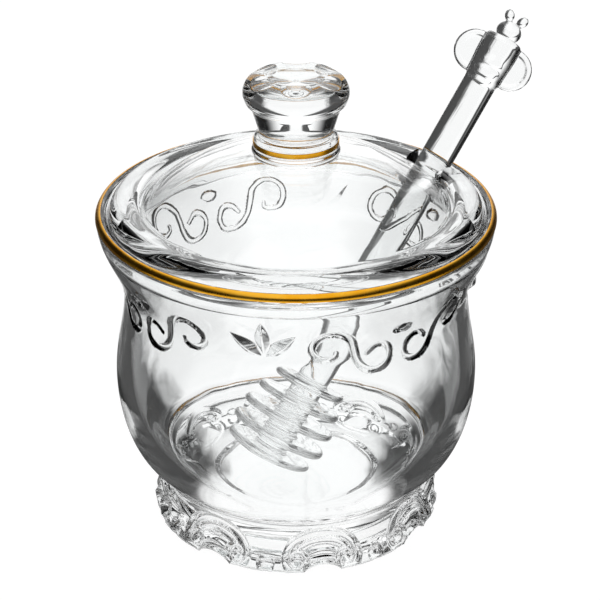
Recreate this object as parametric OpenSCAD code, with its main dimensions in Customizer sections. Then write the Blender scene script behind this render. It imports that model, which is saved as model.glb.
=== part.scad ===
// Clear pressed-glass honey pot with a loose lid and a lampworked honey dipper.
// The pot's axis is Z and its foot stands on z = 0. The dipper leans out of the pot
// through the notch in the lid's flange.

/* [Pot] */
// Diameter over the gilded lip
lip_d = 105; // [100:1:112]
// Height of the lip's top above the table
pot_h = 90; // [86:1:98]
// Radius of the lip's rounded edge
lip_round_r = 1.45; // [1.2:0.05:1.7]
// Diameter of the neck where it is narrowest
neck_d = 92.1; // [88:0.5:94]
// Height of the narrowest part of the neck
neck_z = 67; // [62:1:70]
// Diameter of the belly
belly_d = 98; // [95:0.5:102]
// Height of the widest part of the belly
belly_z = 42; // [38:1:46]
// Diameter of the waist between the bowl and the foot
waist_d = 76; // [72:0.5:80]
// Height of the waist
waist_z = 17.2; // [15:0.2:19]
// Wall of the bowl at the belly and the neck
pot_wall = 4; // [3:0.1:4.6]
// Height of the bowl's floor above the table
floor_z = 8.5; // [7:0.1:9.5]
// Diameter of the flat middle of the bowl's floor
floor_d = 32; // [24:1:38]

/* [Foot] */
// Diameter of the foot over its bottom edge
foot_d = 80; // [78:0.5:83]
// Diameter of the foot under its top moulding
foot_top_d = 74.8; // [72:0.2:76]
// Height of the smooth moulding at the top of the foot
foot_moulding_h = 4.2; // [3:0.1:5]
// Diameter of the shallow recess under the foot
recess_d = 47; // [44:1:58]
// Depth of the recess under the foot
recess_h = 2.5; // [1.5:0.1:3.5]
// Number of scroll arches round the foot
arch_count = 8; // [6:1:9]
// Radius of a scroll arch to the middle of its band
arch_r = 9.2; // [8:0.1:9.6]
// Radius of the band of a scroll arch
arch_band_r = 1.45; // [1.1:0.05:1.7]
// Radius of the curls that end an arch
curl_r = 2.7; // [2.2:0.1:3]
// Diameter of the beads between the arches
bead_d = 4.7; // [3.6:0.1:5]
// Height of the gap in the bottom edge under an arch
edge_gap_h = 2.4; // [1.5:0.1:3]
// Turn of the first bead from the front, towards +X
bead_turn = -12; // [-22:1:22]

/* [Lid] */
// Depth of the lid's seat below the top of the lip
seat_depth = 3.4; // [2.6:0.1:4.2]
// Width of the seat
seat_w = 1.6; // [1.2:0.1:1.8]
// Gap all round between the lid and the lip
lid_gap = 0.3; // [0.2:0.05:0.6]
// Height of the lid's rounded flange above its seat
flange_h = 6; // [5:0.1:7]
// Width of the flange
flange_w = 8.1; // [7.5:0.1:9]
// Height of the flange's inner edge above the rim of the dome
flange_step = 1; // [0.6:0.1:1.6]
// Height of the dome's crown above the table
crown_z = 106; // [103:0.5:112]
// Thickness of the dome
dome_wall = 3.6; // [3:0.1:4]
// Depth of the locating ring below the seat
skirt_depth = 3.6; // [2.5:0.1:4.2]
// Width of the locating ring
skirt_w = 4.4; // [3.4:0.1:4.8]
// Gap between the locating ring and the neck
skirt_gap = 3.4; // [2.4:0.1:4]
// Radius of the round end of the dipper's notch
notch_r = 7; // [6.2:0.1:8]
// Depth of the notch inwards from the edge of the flange
notch_depth = 13.2; // [12.8:0.1:14]
// Radius of the notch's rounded corners
notch_corner_r = 5.5; // [4:0.1:6]

/* [Knob] */
// Diameter of the knob's foot
knob_foot_d = 23; // [21:0.5:25]
// Diameter of the knob's waist
knob_waist_d = 19.6; // [17:0.2:20.5]
// Diameter of the knob's head
knob_head_d = 27.4; // [25:0.2:30]
// Height of the knob
knob_h = 21; // [19:0.5:24]
// Depth of the dimple in the knob's top
knob_dimple = 2; // [1:0.1:3]

/* [Gilding] */
// Thickness of the gilding as modelled
gilding_t = 0.15; // [0.1:0.01:0.2]
// Height of the gold line round the knob's foot
knob_line_h = 1.3; // [0.8:0.1:1.6]

/* [Dipper] */
// Lean of the dipper from upright
dipper_lean = 36; // [35:0.25:37]
// Turn of the dipper and the notch from +X, towards +Y
dipper_turn = 33; // [0:1:60]
// Diameter of the dipper's rod
rod_d = 9.2; // [8.4:0.1:9.6]
// Length of the rod from its bottom ring to the bee
rod_l = 118; // [112:1:124]
// Diameters of the rings, from the bottom one up
ring_ds = [25.5, 28, 27.5, 25, 21];
// Distance from one ring to the next
ring_pitch = 5.74; // [5:0.1:6.4]
// Thickness of a ring
ring_t = 2.2; // [1.8:0.1:2.6]
// Clearance of the leaning dipper from the pot's floor and lip
rest_gap = 0.3; // [0.25:0.05:0.4]

/* [Bee] */
// Diameter of the bee's trunk at its lower end
trunk_low_d = 9.6; // [9.4:0.1:10]
// Diameter of the bee's trunk at its shoulder
trunk_top_d = 10.7; // [10.2:0.1:11.4]
// Length of the bee's trunk
trunk_l = 11.5; // [10:0.5:13]
// Width of the bee's striped belly
bee_belly_w = 8.2; // [7:0.2:9]
// Length of the bee's striped belly
bee_belly_l = 15; // [13:0.5:16]
// How far the striped belly stands out from the trunk
bee_belly_out = 1; // [0.6:0.1:1.4]
// Radius of a wing
wing_r = 5.9; // [5:0.1:6.6]
// Distance of a wing's centre from the rod's axis
wing_out = 5.5; // [5:0.1:6.4]
// Thickness of a wing
wing_t = 1.2; // [0.9:0.1:1.6]
// Width of the bee's head
head_w = 7.1; // [6:0.1:8]
// Height of the bee's head
head_h = 5.7; // [5:0.1:6.2]
// Width of an antenna's drop of glass
antenna_w = 2.7; // [2.2:0.1:3.2]
// Length of an antenna's drop of glass
antenna_l = 3.5; // [3:0.1:4]
// Turn of the bee about the rod
bee_turn = -44; // [-90:1:90]

/* [Hidden] */
$fn = 96;

glass = [0.85, 0.92, 0.94, 0.45];
gold = [0.83, 0.62, 0.2];

// Radii of the pot, and the middle of its rounded lip
waist_r = waist_d / 2;
belly_r = belly_d / 2;
neck_r = neck_d / 2;
lip_r = lip_d / 2 - gilding_t;
lip_mid_r = lip_r - lip_round_r;
lip_mid_z = pot_h - gilding_t - lip_round_r;
lip_in_r = lip_mid_r - lip_round_r;

// The foot, from its bottom edge to the moulding under the bowl
foot_r = foot_d / 2;
foot_top_r = foot_top_d / 2;
edge_r = 1.2;
moulding_z = waist_z - foot_moulding_h;
moulding_out = 1;
arch_pitch = 360 / arch_count;
arch_z = 3;
arch_lean = atan((foot_r - foot_top_r) / moulding_z) * 0.9;

// The seat in the lip and the lid that lies on it
seat_z = pot_h - seat_depth;
seat_in_r = lip_in_r - seat_w;
lid_r = lip_in_r - lid_gap;
flange_in_r = lid_r - flange_w;
flange_mid_r = lid_r - flange_w / 2;
flange_top_z = seat_z + flange_h;
flange_side_z = seat_z + flange_h * 0.33;
flange_crease_z = flange_top_z - 1.4;
dome_rim_z = flange_crease_z - flange_step;
dome_rise = crown_z - dome_rim_z;
dome_r = (flange_in_r * flange_in_r + dome_rise * dome_rise) / (2 * dome_rise);
dome_mid_z = crown_z - dome_r;
skirt_r = seat_in_r - skirt_gap;
skirt_in_r = skirt_r - skirt_w;
skirt_z = seat_z - skirt_depth;
skirt_round_r = 0.8;
notch_mid_r = lid_r - notch_depth + notch_r;
notch_corner_over = 0.5;

// The knob stands on a flat at the crown of the dome
knob_foot_r = knob_foot_d / 2;
knob_waist_r = knob_waist_d / 2;
knob_head_r = knob_head_d / 2;
knob_z = dome_mid_z + sqrt(dome_r * dome_r - knob_foot_r * knob_foot_r);
knob_line_r = knob_foot_r - 0.5;
knob_line_z = 2.5;

// The dipper's lowest ring stands on the floor and its rod leans on the lip
rod_r = rod_d / 2;
ring_round_r = ring_t / 2;
dipper_z = floor_z + rest_gap + ring_round_r + (ring_ds[0] / 2 - ring_round_r) * sin(dipper_lean);
dipper_r = min(lean_on(lip_mid_r, lip_mid_z, lip_round_r), lean_on(seat_in_r, seat_z, 0));

// Heights of the bee's parts along the rod
shoulder_z = rod_l + trunk_l;
trunk_end_z = shoulder_z + 1.2;
neck_join_r = 2.6;
wing_z = rod_l + trunk_l * 0.52;
head_mid_z = trunk_end_z + head_h / 2 * sqrt(1 - pow(neck_join_r / (head_w / 2), 2));
antenna_z = head_mid_z + head_h / 2 + antenna_l * 0.32;
antenna_x = 2;
antenna_lean = 32;

// Radius at which the dipper starts when its rod leans on an edge with the given rounding
function lean_on(edge_r, edge_z, round_r) =
  edge_r - (rod_r + round_r + rest_gap + (edge_z - dipper_z) * sin(dipper_lean)) / cos(dipper_lean);

// A slow start and a slow end between 0 and 1
function ease(t) = (1 - cos(180 * t)) / 2;

// Points of a round stretch of an outline, from angle a0 to angle a1
function arc(middle, rx, ry, a0, a1, steps) =
  [for (i = [0:steps]) let (a = a0 + (a1 - a0) * i / steps) [middle[0] + rx * cos(a), middle[1] + ry * sin(a)]];

// Points of an S-shaped stretch of an outline between two heights
function sweep(r0, z0, r1, z1, steps) =
  [for (i = [0:steps]) let (t = i / steps) [r0 + (r1 - r0) * ease(t), z0 + (z1 - z0) * t]];

// Outline of the bowl's inside, from the middle of its floor up to the seat
function bowl_inside() = concat(
  [[0, floor_z]],
  arc([floor_d / 2, belly_z], belly_r - pot_wall - floor_d / 2, belly_z - floor_z, -90, -4, 22),
  sweep(belly_r - pot_wall, belly_z, neck_r - pot_wall, neck_z, 10),
  sweep(neck_r - pot_wall, neck_z, seat_in_r, seat_z - 3, 8),
  [[seat_in_r, seat_z], [lip_in_r, seat_z]]
);

// Outline of the bowl's outside, from the lip down to the waist
function bowl_outside() = concat(
  arc([lip_mid_r, lip_mid_z], lip_round_r, lip_round_r, 180, 0, 18),
  sweep(lip_r, lip_mid_z - 0.4, neck_r, neck_z, 12),
  sweep(neck_r, neck_z, belly_r, belly_z, 12),
  arc([waist_r, belly_z], belly_r - waist_r, belly_z - waist_z, -4, -90, 20)
);

// Outline of the bowl's underside, from the waist in to the middle of the recess
function bowl_under() = [[recess_d / 2, recess_h], [0, recess_h]];

// Outline of the foot's flank, from the waist down to the rounded bottom edge
function foot_flank() = concat(
  [for (i = [0:7]) let (t = i / 8)
    [waist_r + (foot_top_r - waist_r) * t + moulding_out * sin(180 * t), waist_z - foot_moulding_h * t]],
  [for (i = [0:7]) let (t = i / 8)
    [foot_top_r + (foot_r - foot_top_r) * t * t, moulding_z - (moulding_z - edge_r) * t]],
  arc([foot_r - edge_r, edge_r], edge_r, edge_r, 0, -90, 5)
);

// Outline of the foot: the flank, the flat ring that it stands on and the cone that meets the bowl
function foot_outline() = concat(foot_flank(), [[recess_d / 2 + recess_h, 0], [recess_d / 2, recess_h]]);

// Places its children on the flank of the foot, turned from the front towards +X
module at_foot(turn, r, z) {
  rotate([0, 0, turn - 90]) translate([r, 0, z]) children();
}

// One scroll arch: a half ring that leans with the foot's flank, with a curl at each end
module scroll_arch() {
  rotate([0, -arch_lean, 0]) rotate([90, 0, 90]) rotate_extrude(angle = 180)
    translate([arch_r, 0]) circle(r = arch_band_r);
  for (side = [-1, 1])
    translate([-0.3, side * (arch_r + arch_band_r - curl_r - 1), 0]) sphere(r = curl_r);
}

module pot_bowl() {
  color(glass) rotate_extrude() polygon(concat(bowl_inside(), bowl_outside(), bowl_under()));
}

// The foot: a ring with a raised gap in its bottom edge under each arch, and a bead between the arches
module pot_foot() {
  ornament_r = foot_r - 1.4;
  gap_w = 9.6;
  gap_r = (gap_w * gap_w / 4 + edge_gap_h * edge_gap_h) / (2 * edge_gap_h);
  color(glass) union() {
    difference() {
      rotate_extrude() polygon(foot_outline());
      for (i = [0:arch_count - 1])
        at_foot(bead_turn + (i + 0.5) * arch_pitch, foot_r - 6.5, edge_gap_h - gap_r)
          rotate([0, 90, 0]) cylinder(r = gap_r, h = foot_r);
    }
    for (i = [0:arch_count - 1]) {
      at_foot(bead_turn + i * arch_pitch, ornament_r, bead_d / 2) sphere(d = bead_d);
      at_foot(bead_turn + (i + 0.5) * arch_pitch, ornament_r, arch_z) scroll_arch();
    }
  }
}

// Gold fired on the outer half of the lip's rounded edge
module rim_gilding() {
  color(gold) rotate_extrude() polygon(concat(
    arc([lip_mid_r, lip_mid_z], lip_round_r + gilding_t, lip_round_r + gilding_t, 90, 0, 9),
    arc([lip_mid_r, lip_mid_z], lip_round_r, lip_round_r, 0, 90, 9)
  ));
}

// Outline of the lid: over the dome, round the flange, under it and back inside the dome
function lid_outline() = let (
    rim_a = asin(flange_in_r / dome_r),
    knob_a = asin(knob_foot_r / dome_r),
    in_r = dome_r - dome_wall,
    in_a = asin(skirt_in_r / in_r)
  ) concat(
    [[0, knob_z]],
    arc([0, dome_mid_z], dome_r, dome_r, 90 - knob_a, 90 - rim_a, 18),
    arc([flange_mid_r, flange_crease_z], flange_w / 2, flange_top_z - flange_crease_z, 180, 90, 6),
    arc([flange_mid_r, flange_side_z], flange_w / 2, flange_top_z - flange_side_z, 82, 0, 10),
    [[lid_r, seat_z], [skirt_r, seat_z]],
    arc([skirt_r - skirt_round_r, skirt_z + skirt_round_r], skirt_round_r, skirt_round_r, 0, -90, 4),
    arc([skirt_in_r + skirt_round_r, skirt_z + skirt_round_r], skirt_round_r, skirt_round_r, -90, -180, 4),
    arc([0, dome_mid_z], in_r, in_r, 90 - in_a, 90, 18)
  );

// The notch that the dipper leans in: round inside, with rounded corners at the flange's edge
module notch() {
  corner_y = notch_r + notch_corner_r;
  corner_away = lid_r - notch_corner_r + notch_corner_over;
  corner_x = sqrt(corner_away * corner_away - corner_y * corner_y);
  reach = 1.2 * lid_r / corner_away;
  rotate([0, 0, dipper_turn]) translate([0, 0, skirt_z - 1]) linear_extrude(crown_z - skirt_z) {
    translate([notch_mid_r, 0]) circle(r = notch_r);
    translate([notch_mid_r, -notch_r]) square([lid_r, 2 * notch_r]);
    difference() {
      polygon([
        [corner_x, 0], [corner_x, corner_y], [corner_x * reach, corner_y * reach],
        [corner_x * reach, -corner_y * reach], [corner_x, -corner_y]
      ]);
      for (side = [-1, 1]) translate([corner_x, side * corner_y]) circle(r = notch_corner_r);
    }
  }
}

module lid() {
  color(glass) difference() {
    rotate_extrude() polygon(lid_outline());
    notch();
  }
}

// Outline of the knob above the lid: rounded foot, land for the gold line, waist, head and dimple
function knob_outline() = concat(
  [[0, 0], [knob_foot_r - 0.6, 0]],
  arc([knob_foot_r - 1, 1], 1, 1, -60, 60, 6),
  [[knob_line_r, knob_line_z - 0.3], [knob_line_r, knob_line_z + knob_line_h + 0.3]],
  sweep(knob_line_r - 0.3, knob_line_z + knob_line_h + 0.6, knob_waist_r, knob_h * 0.3, 5),
  [[knob_waist_r + 0.05, knob_h * 0.33]],
  sweep(knob_waist_r + 1.7, knob_h * 0.575, knob_head_r - 0.5, knob_h * 0.69, 6),
  arc([knob_head_r - 4.8, knob_h * 0.78], 4.8, knob_h * 0.22, -22, 90, 13),
  sweep(knob_head_r - 6, knob_h - 0.1, 0, knob_h - knob_dimple, 8)
);

module lid_knob() {
  color(glass) translate([0, 0, knob_z]) rotate_extrude() polygon(knob_outline());
}

module knob_gilding() {
  color(gold) translate([0, 0, knob_z + knob_line_z]) difference() {
    cylinder(r = knob_line_r + gilding_t, h = knob_line_h);
    translate([0, 0, -1]) cylinder(r = knob_line_r, h = knob_line_h + 2);
  }
}

// Stands its children, drawn along +Z from the bottom ring, in the pot
module leaning() {
  rotate([0, 0, dipper_turn]) translate([dipper_r, 0, dipper_z]) rotate([0, dipper_lean, 0])
    rotate([0, 0, bee_turn]) children();
}

module dipper_rod() {
  color(glass) leaning() translate([0, 0, -ring_round_r]) cylinder(r = rod_r, h = rod_l + ring_round_r);
}

// A flattened ring of glass round the rod, with a rounded edge
module dipper_ring(index) {
  r = ring_ds[index] / 2;
  color(glass) leaning() translate([0, 0, index * ring_pitch]) rotate_extrude() {
    translate([rod_r, -ring_round_r]) square([r - ring_round_r - rod_r, ring_t]);
    translate([r - ring_round_r, 0]) circle(r = ring_round_r);
  }
}

// The bee's trunk, which widens to a rounded shoulder
module trunk() {
  top_r = trunk_top_d / 2;
  round_r = trunk_end_z - shoulder_z;
  rotate_extrude() polygon(concat(
    [[0, rod_l], [trunk_low_d / 2, rod_l]],
    arc([top_r - round_r, shoulder_z], round_r, round_r, 0, 90, 6),
    [[0, trunk_end_z]]
  ));
}

// A drop of glass of the given width and length, round about Z
module drop(width, length) {
  rotate_extrude() polygon(arc([0, 0], width / 2, length / 2, -90, 90, 20));
}

module bee_body() {
  belly_mid_y = -(trunk_low_d / 2 + bee_belly_out - bee_belly_w / 2);
  color(glass) leaning() difference() {
    union() {
      trunk();
      translate([0, belly_mid_y, shoulder_z - bee_belly_l / 2 - 0.6]) drop(bee_belly_w, bee_belly_l);
    }
    cylinder(r = rod_r, h = rod_l);
  }
}

module bee_head() {
  join_a = -acos(neck_join_r / (head_w / 2));
  color(glass) leaning() translate([0, 0, head_mid_z]) rotate_extrude() polygon(concat(
    [[0, trunk_end_z - head_mid_z]],
    arc([0, 0], head_w / 2, head_h / 2, join_a, 90, 16)
  ));
}

// side is -1 for the left wing and 1 for the right one
module wing(side) {
  color(glass) leaning() difference() {
    translate([side * wing_out, wing_t / 2, wing_z]) rotate([90, 0, 0]) cylinder(r = wing_r, h = wing_t);
    trunk();
    cylinder(r = rod_r, h = rod_l);
    translate([-side * (wing_r + 1), 0, wing_z]) cube([2 * (wing_r + 1), 4 * wing_t, 4 * wing_r], center = true);
    translate([0, 0, trunk_end_z + wing_r / 2]) cube([2 * neck_join_r + 3, 4 * wing_t, wing_r], center = true);
  }
}

// side is -1 for the left antenna and 1 for the right one
module antenna(side) {
  color(glass) leaning() difference() {
    translate([side * antenna_x, 0, antenna_z]) rotate([0, side * antenna_lean, 0]) drop(antenna_w, antenna_l);
    translate([0, 0, head_mid_z]) rotate_extrude() polygon(arc([0, 0], head_w / 2, head_h / 2, -90, 90, 32));
  }
}

pot_bowl();
pot_foot();
rim_gilding();
lid();
lid_knob();
knob_gilding();
dipper_rod();
dipper_ring(0);  // dipper_ring_1
dipper_ring(1);  // dipper_ring_2
dipper_ring(2);  // dipper_ring_3
dipper_ring(3);  // dipper_ring_4
dipper_ring(4);  // dipper_ring_5
bee_body();
bee_head();
wing(-1);  // bee_wing_left
wing(1);  // bee_wing_right
antenna(-1);  // bee_antenna_left
antenna(1);  // bee_antenna_right
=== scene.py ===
import math

import bmesh
import bpy
import numpy as np
from mathutils import Matrix


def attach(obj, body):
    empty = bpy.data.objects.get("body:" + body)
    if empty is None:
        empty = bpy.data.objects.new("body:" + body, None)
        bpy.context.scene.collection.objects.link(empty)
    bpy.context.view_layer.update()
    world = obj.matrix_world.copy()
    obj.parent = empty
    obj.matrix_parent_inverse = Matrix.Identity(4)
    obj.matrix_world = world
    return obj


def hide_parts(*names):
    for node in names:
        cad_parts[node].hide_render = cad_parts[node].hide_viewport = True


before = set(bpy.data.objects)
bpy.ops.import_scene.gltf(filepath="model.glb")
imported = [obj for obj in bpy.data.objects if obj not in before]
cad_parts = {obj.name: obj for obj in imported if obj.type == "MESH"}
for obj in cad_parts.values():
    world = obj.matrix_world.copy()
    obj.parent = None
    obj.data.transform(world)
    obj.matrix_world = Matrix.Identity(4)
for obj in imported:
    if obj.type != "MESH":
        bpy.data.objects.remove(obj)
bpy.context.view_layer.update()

# Camera. The photograph looks down on the pot at about 28 degrees from half a metre away,
# with the pot's axis a little left of the middle.
camera = bpy.data.objects.new("camera", bpy.data.cameras.new("camera"))
camera.location = (0, -0.420, 0.283)
camera.rotation_euler = (math.radians(90 - 27.8), 0, 0)
camera.data.lens = 105.7
camera.data.sensor_width = 36
camera.data.shift_x = 4 / 600
camera.data.clip_start = 0.01
bpy.context.collection.objects.link(camera)
bpy.context.scene.camera = camera


# Pot. One pressing of clear soda-lime glass: the bowl, and the foot with eight scroll arches.
# The mould leaves raised scrolls and cut leaves on the neck, and the fire polish leaves the
# inside smooth. The bowl and the foot are one piece of glass, so they are one mesh here.
MM = 0.001
FLOOR_Z, BELLY_Z, NECK_Z = 8.5, 42, 67
BELLY_R, WAIST_R, NECK_OUT_R = 49, 38, 46.05
LIP_R, LIP_MID_R, LIP_MID_Z, LIP_ROUND = 52.35, 50.9, 88.4, 1.45
WALL, SEAT_FOOT_Z, SEAT_Z = 4, 82.6, 86.6


def ease(t):
    return (1 - np.cos(np.pi * t)) / 2


def arc(middle, rx, ry, a0, a1, steps=60):
    a = np.radians(np.linspace(a0, a1, steps))
    return np.column_stack([middle[0] + rx * np.cos(a), middle[1] + ry * np.sin(a)])


def sweep(r0, z0, r1, z1, steps=60):
    t = np.linspace(0, 1, steps)
    return np.column_stack([r0 + (r1 - r0) * ease(t), z0 + (z1 - z0) * t])


def paced(points, step):
    """The same outline with its points about a step apart."""
    points = np.array(points, float)
    away = np.concatenate([[0], np.cumsum(np.hypot(*np.diff(points, axis=0).T))])
    at = np.linspace(0, away[-1], max(2, int(round(away[-1] / step)) + 1))
    return np.column_stack([np.interp(at, away, points[:, k]) for k in (0, 1)])


def joined(*stretches):
    """One outline from stretches that follow each other, without doubled points."""
    points = np.vstack(stretches)
    keep = np.concatenate([[True], np.hypot(*np.diff(points, axis=0).T) > 1e-6])
    return points[keep]


def outward(outline):
    """Unit normals to the right of an outline's run."""
    run = np.gradient(outline, axis=0)
    side = np.column_stack([run[:, 1], -run[:, 0]])
    return side / np.maximum(np.hypot(*side.T), 1e-9)[:, None]


def solid(name, points, faces, sharp):
    """A closed mesh that faces out, smooth but for edges over the sharp angle."""
    mesh = bpy.data.meshes.new(name)
    mesh.from_pydata(points, [], faces)
    work = bmesh.new()
    work.from_mesh(mesh)
    if work.calc_volume(signed=True) < 0:
        bmesh.ops.reverse_faces(work, faces=work.faces)
    work.to_mesh(mesh)
    work.free()
    mesh.shade_smooth()
    mesh.set_sharp_from_angle(angle=math.radians(sharp))
    piece = bpy.data.objects.new(name, mesh)
    bpy.context.collection.objects.link(piece)
    return piece


def skin(name, rings, poles):
    """A closed mesh from rings of points, with a single point beyond each end."""
    rows, columns = rings.shape[:2]
    points = np.vstack([rings.reshape(-1, 3), poles]) * MM
    i, j = np.meshgrid(np.arange(rows - 1), np.arange(columns), indexing="ij")
    a, b = (i * columns + j).ravel(), (i * columns + (j + 1) % columns).ravel()
    quads = np.column_stack([a, b, b + columns, a + columns])
    j = np.arange(columns)
    last, first = len(points) - 1, len(points) - 2
    start = np.column_stack([np.full(columns, first), (j + 1) % columns, j])
    end = (rows - 1) * columns
    stop = np.column_stack([np.full(columns, last), end + j, end + (j + 1) % columns])
    return solid(name, points.tolist(), quads.tolist() + start.tolist() + stop.tolist(), 48)


def turned(outline, columns, normals=None, height=None):
    """Rings of points from an outline, moved along its normals by the height of a relief."""
    phi = np.arange(columns) * 2 * np.pi / columns
    r = np.repeat(outline[:, :1], columns, axis=1)
    z = np.repeat(outline[:, 1:], columns, axis=1)
    if height is not None:
        r = r + normals[:, :1] * height
        z = z + normals[:, 1:] * height
    return np.dstack([r * np.sin(phi), -r * np.cos(phi), z])


def smooth_path(points, steps=12):
    """A smooth curve through the points of a scroll."""
    p = np.array(points, float)
    p = np.vstack([2 * p[0] - p[1], p, 2 * p[-1] - p[-2]])
    out = []
    for k in range(1, len(p) - 2):
        for t in np.arange(steps) / steps:
            out.append(0.5 * (2 * p[k] + (p[k + 1] - p[k - 1]) * t
                              + (2 * p[k - 1] - 5 * p[k] + 4 * p[k + 1] - p[k + 2]) * t ** 2
                              + (3 * p[k] - p[k - 1] - 3 * p[k + 1] + p[k + 2]) * t ** 3))
    return np.array(out + [p[-2]])


def tube(s, z, path, widths, rise, round_off=0.5):
    """Height of a round cord of glass that lies along a path."""
    best = np.zeros(s.shape)
    widths = np.interp(np.linspace(0, 1, len(path)), np.linspace(0, 1, len(widths)), widths)
    for (a, b), w in zip(zip(path[:-1], path[1:]), widths):
        run = b - a
        t = np.clip(((s - a[0]) * run[0] + (z - a[1]) * run[1]) / (run @ run), 0, 1)
        d = np.hypot(s - a[0] - t * run[0], z - a[1] - t * run[1]) / w
        best = np.maximum(best, rise * w * np.clip(1 - d * d, 0, 1) ** round_off)
    return best


def leaf(s, z, foot, tip, half_width, slope, fullness=0.5, lean=0.0):
    """Depth of a leaf cut with a mitred wheel: two facets that meet in a valley."""
    run = np.array(tip, float) - foot
    length = np.hypot(*run)
    run /= length
    t = ((s - foot[0]) * run[0] + (z - foot[1]) * run[1]) / length
    v = (s - foot[0]) * -run[1] + (z - foot[1]) * run[0]
    inside = np.clip(t, 0, 1)
    w = half_width * np.sin(np.pi * inside ** fullness)
    v = v - lean * w
    up, down = w * (1 - lean), w * (1 + lean)
    side = np.where(v > 0, 1 - v / np.maximum(up, 1e-6), 1 + v / np.maximum(down, 1e-6))
    return -slope * w * np.clip(side, 0, 1) * (t > 0) * (t < 1)


POT_COLUMNS = 1280
FIRST_BEAD = -12
# From the middle of the floor up the inside to the seat of the lid. The neck's inside follows
# its outside. The last number of each stretch is the spacing of its points.
FLAT_R = 16
heights = np.linspace(NECK_Z, SEAT_FOOT_Z, 60)
neck_r = LIP_R - WALL - 6.3 * ease((LIP_MID_Z - heights) / 21.4)
inside = joined(
    paced([[0.8, FLOOR_Z], [FLAT_R, FLOOR_Z]], 1.2),
    paced(arc((FLAT_R, BELLY_Z), 29, 33.5, -90, -2, 200), 1.1),
    paced(sweep(BELLY_R - WALL, BELLY_Z, 42.05, NECK_Z), 1.1),
    paced(np.column_stack([neck_r, heights]), 0.7),
    paced([[47.27, SEAT_FOOT_Z], [47.85, 83.6], [47.85, 86.3]], 0.9),
    paced(arc((48.15, 86.3), 0.3, 0.3, 180, 90), 0.15),
    paced([[48.15, SEAT_Z], [49.2, SEAT_Z]], 0.5),
    paced([[49.2, SEAT_Z], [49.45, 86.85], [49.45, LIP_MID_Z]], 0.3),
)
lip = paced(arc((LIP_MID_R, LIP_MID_Z), LIP_ROUND, LIP_ROUND, 180, 0, 200), 0.2)
shoulder = sweep(NECK_OUT_R, NECK_Z, BELLY_R, BELLY_Z, 300)
outside = joined(
    paced(sweep(LIP_R, LIP_MID_Z, NECK_OUT_R, NECK_Z, 300), 0.27),
    paced(shoulder[:84], 0.27),
    paced(shoulder[83:], 0.9),
    paced(arc((WAIST_R, BELLY_Z), 11, 24.8, 0, -90, 400), 0.8),
)
# Down the foot, under its rounded edge and across the standing ring into the recess.
RECESS_R, RECESS_Z = 23.5, 2.5
t = np.linspace(0, 1, 80)
moulding = np.column_stack([WAIST_R - 0.6 * t + np.sin(np.pi * t), 17.2 - 4.2 * t])
flank = np.column_stack([37.4 + 2.6 * t * t, 13 - 11.8 * t])
foot = joined(
    paced(moulding, 0.28),
    paced(flank, 0.28),
    paced(arc((38.8, 1.2), 1.2, 1.2, 0, -90), 0.24),
    paced([[38.8, 0], [26, 0]], 0.6),
    paced([[26, 0], [RECESS_R, RECESS_Z]], 0.5),
    paced([[RECESS_R, RECESS_Z], [0.8, RECESS_Z]], 2.0),
)
outline = joined(inside, lip, outside, foot)
normals = outward(outline)
upto = len(joined(inside, lip))
onfoot = len(joined(inside, lip, outside)) - 1

phi = FIRST_BEAD + np.arange(POT_COLUMNS) * 360 / POT_COLUMNS
r = np.repeat(outline[:, :1], POT_COLUMNS, axis=1)
z = np.repeat(outline[:, 1:], POT_COLUMNS, axis=1)
row = np.arange(len(outline))[:, None]

# The bottom edge rises into a low gap under each of the eight arches. The gap fades out inward
# over 4.5 mm, and the inner half of the standing ring stays flat.
FOOT_R = 39.4
across = np.abs((phi - FIRST_BEAD) % 45 - 22.5) * math.pi / 180 * FOOT_R
gap = 2.4 * np.clip(1 - (across / 5.1) ** 2, 0, 1) ** 0.8
near = ease(np.clip((r - 32.5) / 4.5, 0, 1)) * (row >= onfoot)
lift = gap[None, :] * near * np.clip(1 - (z - 1.2) / 6, 0, 1)
z = z + lift

# The neck's ornament repeats four times round the pot and each repeat is mirrored: a cut
# trefoil, a scroll like a lying S and an oval pearl where two scrolls meet. The trefoil's own
# middle stands a little to one side of the scrolls' middle, as in the photograph.
NECK_R, TREFOIL_SHIFT = 46.5, 1.9
along = ((phi - FIRST_BEAD + 45) % 90 - 45) * math.pi / 180 * NECK_R
s = np.abs(along)
beside = np.abs(along - TREFOIL_SHIFT)
band = (row >= upto) & (z > 58) & (z < 87.6)
rows = np.where(band.any(axis=1))[0]
zs, ss = z[rows], np.repeat(s[None, :], len(rows), axis=0)
scroll = smooth_path([
    (19.6, 71.0), (19.5, 69.7), (17.7, 68.9), (15.4, 69.4), (13.9, 70.9), (13.5, 73.0), (14.5, 75.5),
    (17.1, 77.3), (20.5, 76.8), (23.1, 74.3), (24.3, 71.0), (25.3, 67.8), (26.7, 65.7), (28.9, 64.4),
    (31.6, 64.3), (33.6, 65.5), (34.3, 67.7), (33.6, 70.0), (32.0, 71.3), (29.8, 71.2), (27.8, 69.4),
], 6)
relief = tube(ss, zs, scroll, [0.55, 0.8, 0.85, 0.85, 0.95, 0.95, 0.85, 0.8, 0.8, 0.55], 1.0)
pearl = 1 - ((ss - 36.5) / 2.7) ** 2 - ((zs - 75.1) / 1.5) ** 2
relief = np.maximum(relief, 1.1 * np.sqrt(np.clip(pearl, 0, 1)))
ss = np.repeat(beside[None, :], len(rows), axis=0)
relief = relief + leaf(ss, zs, (0.5, 70.0), (8.0, 77.4), 2.1, 0.55, 0.8, -0.15)
relief = relief + leaf(ss, zs, (0, 69.8), (0, 82), 1.9, 0.5, 1.0)
height = np.zeros(z.shape)
height[rows] = relief

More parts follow.
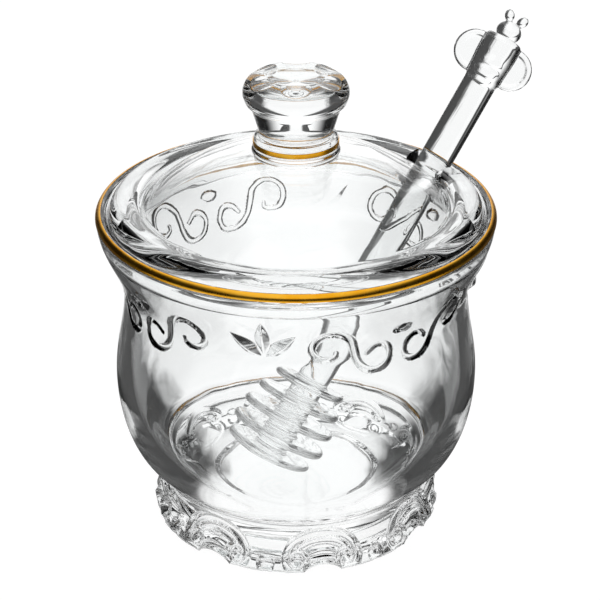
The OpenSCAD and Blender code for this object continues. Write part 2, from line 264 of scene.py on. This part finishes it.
# The foot: eight arches of two cords. The upper cord rolls up at each end into a volute with a
# round eye, and a bead stands between each two arches.
rows = np.where((row[:, 0] >= onfoot) & (outline[:, 0] > 37) & (outline[:, 1] < 14.2))[0]
zs, ss = z[rows], np.repeat(across[None, :], len(rows), axis=0)
turn = np.radians(np.linspace(0, 470, 60))
coil = 3.0 - 1.9 * np.linspace(0, 1, 60)
SPRING_Z = 3.7
volute = np.column_stack([6.9 + coil * np.cos(turn), SPRING_Z - coil * np.sin(turn)])
over = arc((0, SPRING_Z), 9.9, 7.9, 90, 0, 40)
under = arc((0, SPRING_Z), 7.6, 5.5, 90, 24, 40)
taper = [1.45, 1.45, 1.4, 1.3, 1.15, 0.95, 0.85]
relief = tube(ss, zs, np.vstack([over, volute[1:]]), taper, 0.85, 1.1)
relief = np.maximum(relief, tube(ss, zs, under, [1.2, 1.2, 1.1, 0.7], 0.7, 1.1))
eye = 1 - ((ss - 6.8) / 1.5) ** 2 - ((zs - 3.8) / 1.5) ** 2
relief = np.maximum(relief, 1.7 * np.clip(eye, 0, 1) ** 0.6)
bead = 1 - ((ss - 22.5 * math.pi / 180 * FOOT_R) / 2.4) ** 2 - ((zs - 2.5) / 2.4) ** 2
relief = np.maximum(relief, 1.9 * np.clip(bead, 0, 1) ** 0.6)
height[rows] += relief * np.clip(outline[rows, 1:] / 0.9, 0, 1)

r = r + normals[:, :1] * height
z = np.maximum(z + normals[:, 1:] * height, 0)
rings = np.dstack([r * np.sin(np.radians(phi)), -r * np.cos(np.radians(phi)), z])
pot = skin("pot", rings, [[0, 0, FLOOR_Z], [0, 0, RECESS_Z]])
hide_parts("pot_bowl", "pot_foot")
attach(pot, "pot")


def linear(hex_colour):
    """The linear colour of an sRGB hex value."""
    parts = [int(hex_colour[k:k + 2], 16) / 255 for k in (1, 3, 5)]
    return [c / 12.92 if c <= 0.04045 else ((c + 0.055) / 1.055) ** 2.4 for c in parts] + [1]


def add(tree, kind, links=None, **settings):
    """Adds a node with its settings, and links sockets of other nodes to its inputs."""
    node = tree.nodes.new(kind)
    for name, value in settings.items():
        if name in node.inputs:
            node.inputs[name].default_value = value
        else:
            setattr(node, name, value)
    for name, source in (links or {}).items():
        tree.links.new(source, node.inputs[name])
    return node


def ramp(tree, value, start, end, low, high, kind="SMOOTHSTEP"):
    """Runs from low to high while the value runs from start to end."""
    node = add(tree, "ShaderNodeMapRange", {"Value": value}, interpolation_type=kind)
    for name, level in zip(("From Min", "From Max", "To Min", "To Max"), (start, end, low, high)):
        node.inputs[name].default_value = level
    return node.outputs["Result"]


def noise(tree, place, size, detail):
    """Cloud noise with clouds of about the given size in millimetres."""
    return add(tree, "ShaderNodeTexNoise", {"Vector": place}, Scale=1 / (size * MM), Detail=detail)


def blank(name):
    """A material with an empty node tree and its output."""
    material = bpy.data.materials.new(name)
    material.use_nodes = True
    material.node_tree.nodes.clear()
    return material, material.node_tree, material.node_tree.nodes.new("ShaderNodeOutputMaterial")


# Pressed soda-lime glass, fire polished: clear, with a faint slow ripple that the mould and the
# polish leave. The ripple bends what is seen in the glass and through it a little.
pressed_glass, tree, output = blank("pressed_soda_lime_glass")
place = add(tree, "ShaderNodeTexCoord")
ripple = noise(tree, place.outputs["Object"], 14, 1.5)
specks = noise(tree, place.outputs["Object"], 2.2, 3.0)
haze = ramp(tree, specks.outputs["Fac"], 0.35, 0.75, 0.0, 0.002, "LINEAR")
uneven = add(tree, "ShaderNodeBump", {"Height": ripple.outputs["Fac"]}, Strength=0.4, Distance=0.3 * MM)
links = {"Roughness": haze, "Normal": uneven.outputs["Normal"]}
glass = add(tree, "ShaderNodeBsdfPrincipled", links, IOR=1.5)
glass.inputs["Base Color"].default_value = linear("#FEFFFF")
glass.inputs["Transmission Weight"].default_value = 1
tree.links.new(glass.outputs["BSDF"], output.inputs["Surface"])
pot.data.materials.append(pressed_glass)


# Gilded lip. Bright gold fired in a thin film on the outer half of the lip's rounded edge,
# laid on with a brush while the pot turned.
FILM_ROUND = 1.6
lip_film = joined(
    arc((LIP_MID_R, LIP_MID_Z), FILM_ROUND, FILM_ROUND, 84, -1, 14),
    arc((LIP_MID_R, LIP_MID_Z), LIP_ROUND, LIP_ROUND, 0, 83, 14),
)


def hoop(name, section, columns=384):
    """A closed ring with the given section."""
    rings = turned(section, columns)
    rows = len(section)
    i, j = np.meshgrid(np.arange(rows), np.arange(columns), indexing="ij")
    n, m = (i + 1) % rows, (j + 1) % columns
    quads = np.column_stack([(i * columns + j).ravel(), (i * columns + m).ravel(),
                             (n * columns + m).ravel(), (n * columns + j).ravel()])
    return solid(name, (rings.reshape(-1, 3) * MM).tolist(), quads.tolist(), 50)


rim_gold = hoop("rim_gold", lip_film)
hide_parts("rim_gilding")
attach(rim_gold, "pot")

# Fired bright gold: a glossy orange gold film, uneven in tone and gloss where the brush overlapped.
bright_gold, tree, output = blank("fired_bright_gold")
place = add(tree, "ShaderNodeTexCoord")
strokes = noise(tree, place.outputs["Object"], 6, 3.0)
tone = add(tree, "ShaderNodeValToRGB", {"Fac": strokes.outputs["Fac"]})
for stop, at, colour in zip(tone.color_ramp.elements, (0.35, 0.7), ("#EBA31A", "#F8BC3C")):
    stop.position, stop.color = at, linear(colour)
wear = ramp(tree, strokes.outputs["Fac"], 0, 1, 0.2, 0.34, "LINEAR")
links = {"Base Color": tone.outputs["Color"], "Roughness": wear}
gold = add(tree, "ShaderNodeBsdfPrincipled", links, Metallic=1.0)
tree.links.new(gold.outputs["BSDF"], output.inputs["Surface"])
rim_gold.data.materials.append(bright_gold)


# Lid. A thin dome with a rounded flange that lies on the seat in the lip, a ring under it that
# keeps it in place, and a notch for the dipper. The knob is pressed with it in one piece.
LID_COLUMNS = 720
DOME_R, DOME_Z, CROWN_R = 61.2, 44.8, 11.5
FLANGE_MID, FLANGE_IN, LID_R = 45.1, 41.05, 49.15
RING_OUT, RING_IN, RING_Z, RING_ROUND = 44.45, 40.05, 83.8, 0.8
crown = math.degrees(math.asin(CROWN_R / DOME_R))
KNOB_Z = DOME_Z + math.sqrt(DOME_R ** 2 - CROWN_R ** 2)
rim_angle = math.degrees(math.asin(FLANGE_IN / DOME_R))
hollow_r = DOME_R - 3.6
hollow_angle = math.degrees(math.asin(RING_IN / hollow_r))
knob_outline = joined(
    sweep(0.5, KNOB_Z + 19.0, 7.7, KNOB_Z + 20.9, 30),
    arc((8.9, KNOB_Z + 16.4), 4.8, 4.6, 90, -22, 40),
    sweep(13.2, KNOB_Z + 14.4, 11.5, KNOB_Z + 12.1, 20),
    [[11.45, KNOB_Z + 12.0], [9.85, KNOB_Z + 6.9]],
    sweep(9.8, KNOB_Z + 6.6, 10.8, KNOB_Z + 4.3, 20),
    [[11, KNOB_Z + 4.1], [11, KNOB_Z + 2.2]],
    arc((10.5, KNOB_Z + 1), 1, 1, 60, -60, 20),
    [[11.5, KNOB_Z - 0.05]],
)
lid_outline = joined(
    paced(knob_outline, 0.35),
    paced(arc((0, DOME_Z), DOME_R, DOME_R, 90 - crown, 90 - rim_angle, 200)[:-6], 0.8),
    [[40.6, 89.9], [40.95, 89.95]],
    paced(arc((FLANGE_MID, 91.2), 4.05, 1.4, 180, 90, 60), 0.3),
    paced(arc((FLANGE_MID, 88.58), 4.05, 4.02, 90, 0, 80), 0.35),
    paced([[LID_R, 88.58], [LID_R, SEAT_Z + 0.4]], 0.5),
    paced([[LID_R, SEAT_Z + 0.4], [LID_R - 0.4, SEAT_Z], [RING_OUT, SEAT_Z]], 0.5),
    paced([[RING_OUT, SEAT_Z], [RING_OUT, RING_Z]], 0.5),
    paced(arc((43.65, RING_Z), RING_ROUND, RING_ROUND, 0, -90), 0.25),
    paced(arc((40.85, RING_Z), RING_ROUND, RING_ROUND, -90, -180), 0.25),
    paced([[RING_IN, RING_Z], [RING_IN, DOME_Z + math.sqrt(hollow_r ** 2 - RING_IN ** 2)]], 0.5),
    paced(arc((0, DOME_Z), hollow_r, hollow_r, 90 - hollow_angle, 89.3, 200), 1.2),
)
# Six petals are pressed into the top of the knob, with a ridge between each two.
phi = np.radians(np.arange(LID_COLUMNS) * 360 / LID_COLUMNS)
petal = np.abs((phi - math.radians(30)) % (math.pi / 3) - math.pi / 6)
away = lid_outline[:, :1]
dimple = 1 - (away * np.cos(petal) / 3.1 - 9.4 / 3.1) ** 2 - (away * np.sin(petal) / 3.9) ** 2
pressed = -1.1 * np.clip(dimple, 0, 1) ** 0.8 * (lid_outline[:, 1:] > KNOB_Z + 15.5)
lid_rings = turned(lid_outline, LID_COLUMNS, -outward(lid_outline), pressed)
lid = skin("lid_glass_piece", lid_rings, [[0, 0, KNOB_Z + 19.0], [0, 0, DOME_Z + hollow_r]])

# The notch: a round end towards the knob, and a rounded corner on each side at the flange's edge.
NOTCH_TURN, NOTCH_X, NOTCH_R = 33, 42.95, 7
CORNER_Y, CORNER_R = 12.5, 5.5
corner_x = math.sqrt((LID_R - CORNER_R + 0.5) ** 2 - CORNER_Y ** 2)
side = []
for a in np.radians(np.linspace(0, 90, 30)):
    side.append((NOTCH_X - NOTCH_R * math.cos(a), NOTCH_R * math.sin(a)))
for a in np.radians(np.linspace(12, 118, 30)):
    side.append((corner_x + CORNER_R * math.sin(a), CORNER_Y - CORNER_R * math.cos(a)))
side.append((56, CORNER_Y + 4))
shape = [(x, -y) for x, y in reversed(side[1:])] + side
cutter_mesh = bpy.data.meshes.new("notch_cutter")
work = bmesh.new()
low = [work.verts.new((x * MM, y * MM, 78 * MM)) for x, y in shape]
high = [work.verts.new((x * MM, y * MM, 112 * MM)) for x, y in shape]
work.faces.new(low[::-1])
work.faces.new(high)
for k in range(len(shape)):
    n = (k + 1) % len(shape)
    work.faces.new((low[k], low[n], high[n], high[k]))
bmesh.ops.recalc_face_normals(work, faces=work.faces)
work.to_mesh(cutter_mesh)
work.free()


def carve(piece, tool_mesh, place, operation):
    """Joins a tool to a piece or takes it away, and leaves one closed mesh."""
    tool = bpy.data.objects.new("tool", tool_mesh)
    tool.matrix_world = place
    bpy.context.collection.objects.link(tool)
    bpy.context.view_layer.update()
    step = piece.modifiers.new("step", "BOOLEAN")
    step.operation, step.solver, step.object = operation, "EXACT", tool
    done = bpy.data.meshes.new_from_object(piece.evaluated_get(bpy.context.evaluated_depsgraph_get()))
    piece.modifiers.clear()
    old, piece.data = piece.data, done
    bpy.data.meshes.remove(old)
    bpy.data.objects.remove(tool)


carve(lid, cutter_mesh, Matrix.Rotation(math.radians(NOTCH_TURN), 4, "Z"), "DIFFERENCE")
lid.data.shade_smooth()
lid.data.set_sharp_from_angle(angle=math.radians(40))
lid.name = "lid_and_knob"
lid.data.materials.clear()
lid.data.materials.append(pressed_glass)
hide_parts("lid", "lid_knob")
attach(lid, "lid")

# Gold line round the knob's foot, painted with the same bright gold.
knob_gold = hoop("knob_gold", joined(
    [[11.0, KNOB_Z + 2.5], [11.12, KNOB_Z + 2.5], [11.15, KNOB_Z + 2.6], [11.15, KNOB_Z + 3.7],
     [11.12, KNOB_Z + 3.8], [11.0, KNOB_Z + 3.8]]), 192)
knob_gold.data.materials.append(bright_gold)
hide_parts("knob_gilding")
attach(knob_gold, "lid")


# Dipper. Lampworked by hand from a clear rod: five rings wound on its end that hold the honey,
# and a bee of small gathers on the other end, all melted into one piece of glass.
ROD_R, ROD_L = 4.6, 118.0
RING_DS, RING_PITCH, RING_HALF, FILLET = (25.5, 28, 27.5, 25, 21), 5.74, 1.1, 0.7
LEAN, TWIST, TRUNK_L, CLEARANCE = 36, -44, 11.5, 0.3
HEAD_R, HEAD_H, HEAD_JOIN_R = 3.55, 2.85, 2.6
tilt = math.radians(LEAN)
low_z = FLOOR_Z + CLEARANCE + RING_HALF + (RING_DS[0] / 2 - RING_HALF) * math.sin(tilt)
beside_lip = ROD_R + LIP_ROUND + CLEARANCE + (LIP_MID_Z - low_z) * math.sin(tilt)
lean_r = LIP_MID_R - beside_lip / math.cos(tilt)
turn_to_notch = Matrix.Rotation(math.radians(NOTCH_TURN), 4, "Z")
onto_floor = Matrix.Translation((lean_r * MM, 0, low_z * MM))
lean = Matrix.Rotation(tilt, 4, "Y")
stand = turn_to_notch @ onto_floor @ lean @ Matrix.Rotation(math.radians(TWIST), 4, "Z")

stem = [[[0.4, -RING_HALF], [ROD_R, -RING_HALF]]]
for k, d in enumerate(RING_DS):
    at, reach = k * RING_PITCH, d / 2 - RING_HALF
    if k:
        stem.append(arc((ROD_R + FILLET, at - 1.8), FILLET, FILLET, 180, 90, 8))
    stem.append(arc((reach, at), RING_HALF, RING_HALF, -90, 90, 16))
    stem.append(arc((ROD_R + FILLET, at + 1.8), FILLET, FILLET, 270, 180, 8))
trunk_end = ROD_L + TRUNK_L + 1.2
head_z = trunk_end + HEAD_H * math.sqrt(1 - (HEAD_JOIN_R / HEAD_R) ** 2)
join_a = -math.degrees(math.acos(HEAD_JOIN_R / HEAD_R))
stem += [
    [[ROD_R, ROD_L - 1.5]],
    sweep(ROD_R, ROD_L - 1.2, 4.95, ROD_L + 1, 8),
    sweep(4.95, ROD_L + 1.2, 5.35, ROD_L + 9, 12),
    arc((4.15, ROD_L + TRUNK_L), 1.2, 1.2, 0, 80, 10),
    [[2.7, trunk_end - 0.05]],
    arc((0, head_z), HEAD_R, HEAD_H, join_a + 4, 88, 26),
]
stem = paced(joined(*stem), 0.4)
dipper = skin("dipper_glass_piece", turned(stem, 144), [[0, 0, -RING_HALF], [0, 0, head_z + HEAD_H]])


def drop_mesh(name, rx, ry, rz, columns=64, rows=40, grooves=()):
    """A drop of glass, with stripes pinched into it where grooves are named."""
    a = np.radians(np.linspace(-88, 88, rows))
    r, z = np.cos(a), rz * np.sin(a)
    pinch = sum((0.35 * np.exp(-((z - g) / 0.55) ** 2) for g in grooves), np.zeros(rows))
    ring = np.arange(columns) * 2 * np.pi / columns
    scale = 1 - pinch / max(rx, ry)
    rings = np.dstack([
        rx * np.outer(r * scale, np.sin(ring)),
        -ry * np.outer(r * scale, np.cos(ring)),
        np.repeat(z[:, None], columns, axis=1),
    ])
    piece = skin(name, rings, [[0, 0, -rz], [0, 0, rz]])
    mesh = piece.data
    bpy.data.objects.remove(piece)
    return mesh


def wing_mesh(name):
    """A flattened gather with a thicker rim."""
    rows, columns, wing_r = 26, 72, 5.9
    q = np.linspace(0.02, 1, rows)
    half = 0.42 + 0.26 * np.exp(-((q - 0.84) / 0.14) ** 2)
    half = half * np.sqrt(np.clip(1 - np.clip((q - 0.86) / 0.145, 0, 1) ** 2, 0.0, 1))
    ring = np.arange(columns) * 2 * np.pi / columns
    front = np.dstack([
        wing_r * np.outer(q, np.cos(ring)),
        np.repeat(-half[:, None], columns, axis=1),
        wing_r * np.outer(q, np.sin(ring)),
    ])
    back = front[::-1][1:].copy()
    back[:, :, 1] *= -1
    piece = skin(name, np.vstack([front, back]), [[0, -half[0], 0], [0, half[0], 0]])
    mesh = piece.data
    bpy.data.objects.remove(piece)
    return mesh


BELLY_ROUND, BELLY_HALF, ANTENNA_L = 4.1, 7.5, 3.5
belly_y = -(4.8 + 1 - BELLY_ROUND)
belly_z = ROD_L + TRUNK_L - BELLY_HALF - 0.6
belly = drop_mesh("bee_belly", BELLY_ROUND, BELLY_ROUND, BELLY_HALF, 128, 80, grooves=(-3.2, 0.2))
carve(dipper, belly, Matrix.Translation((0, belly_y * MM, belly_z * MM)), "UNION")
antenna_z = head_z + HEAD_H + ANTENNA_L * 0.32
for hand in (-1, 1):
    at = Matrix.Translation((hand * 5.5 * MM, 0, (ROD_L + TRUNK_L * 0.52) * MM))
    carve(dipper, wing_mesh("bee_wing"), at, "UNION")
    at = Matrix.Translation((hand * 2 * MM, 0, antenna_z * MM))
    at = at @ Matrix.Rotation(math.radians(hand * 32), 4, "Y")
    carve(dipper, drop_mesh("bee_antenna", 1.35, 1.35, ANTENNA_L / 2, 40, 24), at, "UNION")
# The flame melts the seams, so the joined pieces are one even skin.
melt = dipper.modifiers.new("melt", "REMESH")
melt.mode, melt.voxel_size, melt.use_smooth_shade = "VOXEL", 0.16 * MM, True
settle = dipper.modifiers.new("settle", "SMOOTH")
settle.factor, settle.iterations = 0.5, 6
bpy.context.view_layer.update()
melted = bpy.data.meshes.new_from_object(dipper.evaluated_get(bpy.context.evaluated_depsgraph_get()))
dipper.modifiers.clear()
dipper.data = melted
dipper.data.transform(stand)
dipper.data.shade_smooth()
dipper.name = "honey_dipper"
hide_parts("dipper_rod",
            "dipper_ring_1", "dipper_ring_2", "dipper_ring_3", "dipper_ring_4", "dipper_ring_5",
            "bee_body", "bee_head", "bee_wing_left", "bee_wing_right",
            "bee_antenna_left", "bee_antenna_right")
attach(dipper, "dipper")

# Lampworked glass: the same clear soda-lime glass as the pressings, with the same faint ripple.
drawn_glass = pressed_glass.copy()
drawn_glass.name = "lampworked_clear_glass"
dipper.data.materials.clear()
dipper.data.materials.append(drawn_glass)


# Studio. A white table in a white room. The dark cards that a glass photographer sets left and
# right of the pot and beside the camera are dark parts of the room here, so that the glass
# draws its own edges.
floor_mesh = bpy.data.meshes.new("floor")
floor_mesh.from_pydata([(-3, -3, 0), (3, -3, 0), (3, 3, 0), (-3, 3, 0)], [], [(0, 1, 2, 3)])
floor = bpy.data.objects.new("floor", floor_mesh)
floor.location.z = -0.0002
bpy.context.collection.objects.link(floor)


def maths(tree, operation, *values):
    """A maths node over sockets and plain numbers."""
    node = add(tree, "ShaderNodeMath", operation=operation)
    for k, value in enumerate(values):
        if isinstance(value, (int, float)):
            node.inputs[k].default_value = value
        else:
            tree.links.new(value, node.inputs[k])
    return node.outputs[0]


# Levels of light: where the glass sees a lit part, where it sees a card, and what the camera sees.
LIT, DARK, SEEN, GLOW_SHARE = 1.12, 0.01, 1.14, 0.85

# White laminate with painted light: the glass sees it glow in a strip that widens in front of the pot
# and behind it, and glow all over near the camera, and sees painted shade beyond the strip. The strip's
# edge is cloudy, which gives the glass its streaks, and the camera sees plain white.
painted_light_table, tree, output = blank("white_table_painted_light")
diffuse = add(tree, "ShaderNodeBsdfDiffuse")
diffuse.inputs["Color"].default_value = linear("#FAFAFA")
place = add(tree, "ShaderNodeNewGeometry")
axes = add(tree, "ShaderNodeSeparateXYZ", {"Vector": place.outputs["Position"]})
width = maths(tree, "ABSOLUTE", axes.outputs["X"])
depth = maths(tree, "ABSOLUTE", axes.outputs["Y"])
reach = maths(tree, "MINIMUM", maths(tree, "MULTIPLY_ADD", depth, 0.38, 0.018), 0.19)
slant = maths(tree, "DIVIDE", width, reach)
stretch = add(tree, "ShaderNodeVectorMath", {0: place.outputs["Position"]}, operation="MULTIPLY")
stretch.inputs[1].default_value = (1, 0.25, 1)
cloud = noise(tree, stretch.outputs[0], 9, 3.0)
torn = maths(tree, "MULTIPLY_ADD", cloud.outputs["Fac"], 0.9, slant)
torn = maths(tree, "SUBTRACT", torn, 0.45)
near = ramp(tree, axes.outputs["Y"], -0.12, -0.075, 1, 0)
# Painted light and painted shade: for every ray but the camera's the floor glows at LIT in the strip
# and near the camera, and goes dark beyond.
strip = maths(tree, "MAXIMUM", ramp(tree, torn, 1.0, 1.55, LIT, DARK), near)
rays = add(tree, "ShaderNodeLightPath")
links = {"Factor": rays.outputs["Is Camera Ray"], "A": strip}
level = add(tree, "ShaderNodeMix", links, data_type="FLOAT")
level.inputs["B"].default_value = SEEN
white = add(tree, "ShaderNodeEmission", {"Strength": level.outputs["Result"]})
share = maths(tree, "SUBTRACT", GLOW_SHARE, rays.outputs["Is Diffuse Ray"])
mixed = add(tree, "ShaderNodeMixShader", {0: share, 1: diffuse.outputs[0], 2: white.outputs[0]})
tree.links.new(mixed.outputs[0], output.inputs["Surface"])
floor.data.materials.append(painted_light_table)

world = bpy.data.worlds.new("studio")
bpy.context.scene.world = world
world.use_nodes = True
tree = world.node_tree
tree.nodes.clear()
output = tree.nodes.new("ShaderNodeOutputWorld")
place = add(tree, "ShaderNodeTexCoord")
axes = add(tree, "ShaderNodeSeparateXYZ", {"Vector": place.outputs["Generated"]})
width = maths(tree, "ABSOLUTE", axes.outputs["X"])
sides = ramp(tree, width, 0.22, 0.55, LIT, DARK)
front = ramp(tree, axes.outputs["Y"], -0.4, -0.05, 0.03, 1)
top = ramp(tree, axes.outputs["Z"], 0.6, 0.75, 0, 1)
above = maths(tree, "MULTIPLY", top, ramp(tree, width, 0.25, 0.6, LIT, DARK))
room = maths(tree, "MAXIMUM", maths(tree, "MULTIPLY", sides, front), above)
rays = add(tree, "ShaderNodeLightPath")
room = maths(tree, "MAXIMUM", room, rays.outputs["Is Camera Ray"])
studio = add(tree, "ShaderNodeBackground", {"Strength": room})
studio.inputs["Color"].default_value = (1, 1, 1, 1)
tree.links.new(studio.outputs[0], output.inputs["Surface"])

scene = bpy.context.scene
scene.view_settings.view_transform = "Standard"
scene.cycles.max_bounces = 24
scene.cycles.transmission_bounces = 20
scene.cycles.glossy_bounces = 8
